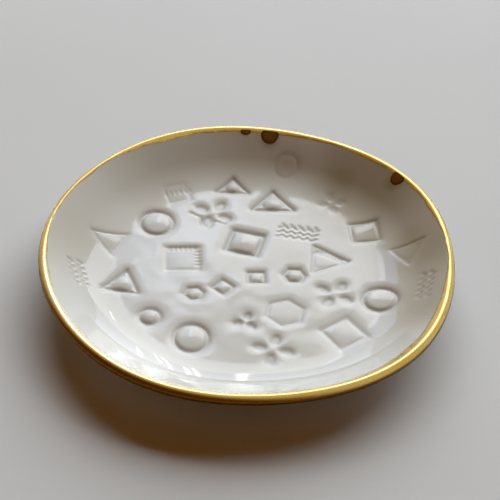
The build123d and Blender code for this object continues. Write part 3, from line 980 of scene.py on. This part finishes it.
def softbox(name, bearing, height, wide, tall, watts, colour, distance=1.0):
    """Area lamp that faces the dish from a bearing and a height in degrees, hidden from cameras."""
    lamp = bpy.data.lights.new(name, "AREA")
    lamp.shape, lamp.size, lamp.size_y = "RECTANGLE", wide, tall
    lamp.energy, lamp.color = watts, linear(colour)[:3]
    holder = bpy.data.objects.new(name, lamp)
    bearing, height = math.radians(bearing), math.radians(height)
    level = math.cos(height)
    towards = np.array((level * math.cos(bearing), level * math.sin(bearing), math.sin(height)))
    side = np.array((-math.sin(bearing), math.cos(bearing), 0))
    turn = np.eye(4)
    turn[:3] = np.column_stack((side, np.cross(towards, side), towards, towards * distance))
    holder.matrix_world = Matrix(turn.tolist())
    holder.visible_camera = False
    bpy.context.scene.collection.objects.link(holder)
    return holder


window = softbox("Window", 73, 35.5, 2.60, 1.55, 65.5, "#eff9ff", 2.0)
window.visible_glossy = False
# Two tall panes with a bar between them and a low one, and narrow gaps of daylight, which are so far
# off that the whole dish mirrors each from one direction: bearing and height in degrees, width and
# height in m, watts, colour and distance in m
for name, bearing, height, wide, tall, watts, colour, distance in (
    ("Pane_Left", 100.5, 34, 0.26, 0.38, 0.52, "#b4ccff", 1),
    ("Pane_Right", 79, 34, 0.46, 0.38, 1.50, "#f0f4ff", 1),
    ("Pane_Low", 87, 13.6, 0.46, 0.338, 0.65, "#cfe0ff", 1),
    ("Gap_1", 78.6, 29.0, 0.10, 0.5, 1.3, "#fffaf0", 10),
    ("Gap_2", 81.3, 12, 0.10, 2.4, 6.0, "#fffaf0", 10),
    ("Gap_3", 84.2, 17, 0.05, 1.9, 2.1, "#fffaf0", 10),
    ("Gap_4", 85.3, 15, 0.06, 3.0, 4.5, "#fffaf0", 10),
    ("Gap_5", 87.1, 12, 0.06, 2.8, 4.2, "#fffaf0", 10),
    ("Gap_6", 87.9, 12, 0.05, 3.4, 4.2, "#fff6e4", 10),
    ("Gap_7", 90.5, 14, 0.06, 3.2, 4.5, "#fffaf0", 10),
):
    pane = softbox(name, bearing, height, wide, tall, watts, colour, distance)
    pane.visible_diffuse = False

world = bpy.data.worlds.new("Room")
bpy.context.scene.world = world
world.use_nodes = True
tree = world.node_tree
light_path = add_node(tree, "ShaderNodeLightPath").outputs
seen = light_path["Is Camera Ray"]
for ray in ("Is Glossy Ray", "Is Transmission Ray"):
    seen = add_node(tree, "ShaderNodeMath", {0: seen, 1: light_path[ray]}, operation="MAXIMUM").outputs[0]
# The room gives the shadows a faint warm light
room = tree.nodes["Background"]
room.inputs["Color"].default_value = linear("#ffa83c")
room.inputs["Strength"].default_value = 0.11
# Mirrored, it is pale at the window's side, warmer overhead, and brown to the left and on the
# viewer's side
PALE_WALL = linear("#d8d8d6")
direction = add_node(tree, "ShaderNodeTexCoord").outputs["Generated"]
looking = add_node(tree, "ShaderNodeSeparateXYZ", {"Vector": direction}).outputs
overhead = add_node(tree, "ShaderNodeMapRange", {"Value": looking["Z"], "From Min": 0.10, "From Max": 0.45})
forward = add_node(
    tree, "ShaderNodeVectorMath", {0: direction, 1: (0.78, 0.62, 0)}, operation="DOT_PRODUCT"
)
spans = {"Value": forward.outputs["Value"], "From Min": 0.10, "From Max": -0.35}
behind = add_node(tree, "ShaderNodeMapRange", spans)
shown = PALE_WALL
for share, colour in (
    (overhead.outputs[0], linear("#c2b690")),
    (behind.outputs[0], linear("#8a6c38")),
    (light_path["Is Camera Ray"], PALE_WALL),
):
    tones = {"Factor": share, 6: shown, 7: colour}
    shown = add_node(tree, "ShaderNodeMix", tones, data_type="RGBA").outputs[2]
pale = add_node(tree, "ShaderNodeBackground", {"Color": shown, "Strength": 1.0})
both = add_node(tree, "ShaderNodeMixShader", {0: seen, 1: room.outputs[0], 2: pale.outputs[0]})
tree.links.new(both.outputs[0], tree.nodes["World Output"].inputs["Surface"])

# Camera: 400 mm from a point over the dish at the height of its lip, just under 42 degrees above the
# table and rolled by two and a half degrees. Its lens and shifts give the photograph's square frame.
camera_data = bpy.data.cameras.new("Photo_Camera")
camera = bpy.data.objects.new("Photo_Camera", camera_data)
bpy.context.scene.collection.objects.link(camera)
HEIGHT, ROLL, DISTANCE = math.radians(41.7), math.radians(2.5), 400 * MM
TARGET = np.array((0.02, -4.30, 11.6)) * MM
FRAME, FOCUS_PIXELS, SENSOR = 500, 1689, 36
camera_data.lens, camera_data.sensor_width = FOCUS_PIXELS / FRAME * SENSOR, SENSOR
camera_data.shift_x, camera_data.shift_y = 1.9 / FRAME, 12 / FRAME
camera_data.clip_start, camera_data.clip_end = 0.01, 20
back = np.array((0, -math.cos(HEIGHT), math.sin(HEIGHT)))
above = np.array((0, math.sin(HEIGHT), math.cos(HEIGHT)))
right = np.array((math.cos(ROLL), 0, 0)) + math.sin(ROLL) * above
above = np.cross(back, right)
spot = TARGET + back * DISTANCE
turn = np.eye(4)
turn[:3] = np.column_stack((right, above, back, spot))
camera.matrix_world = Matrix(turn.tolist())
bpy.context.scene.camera = camera
bpy.context.scene.view_settings.view_transform = "Standard"
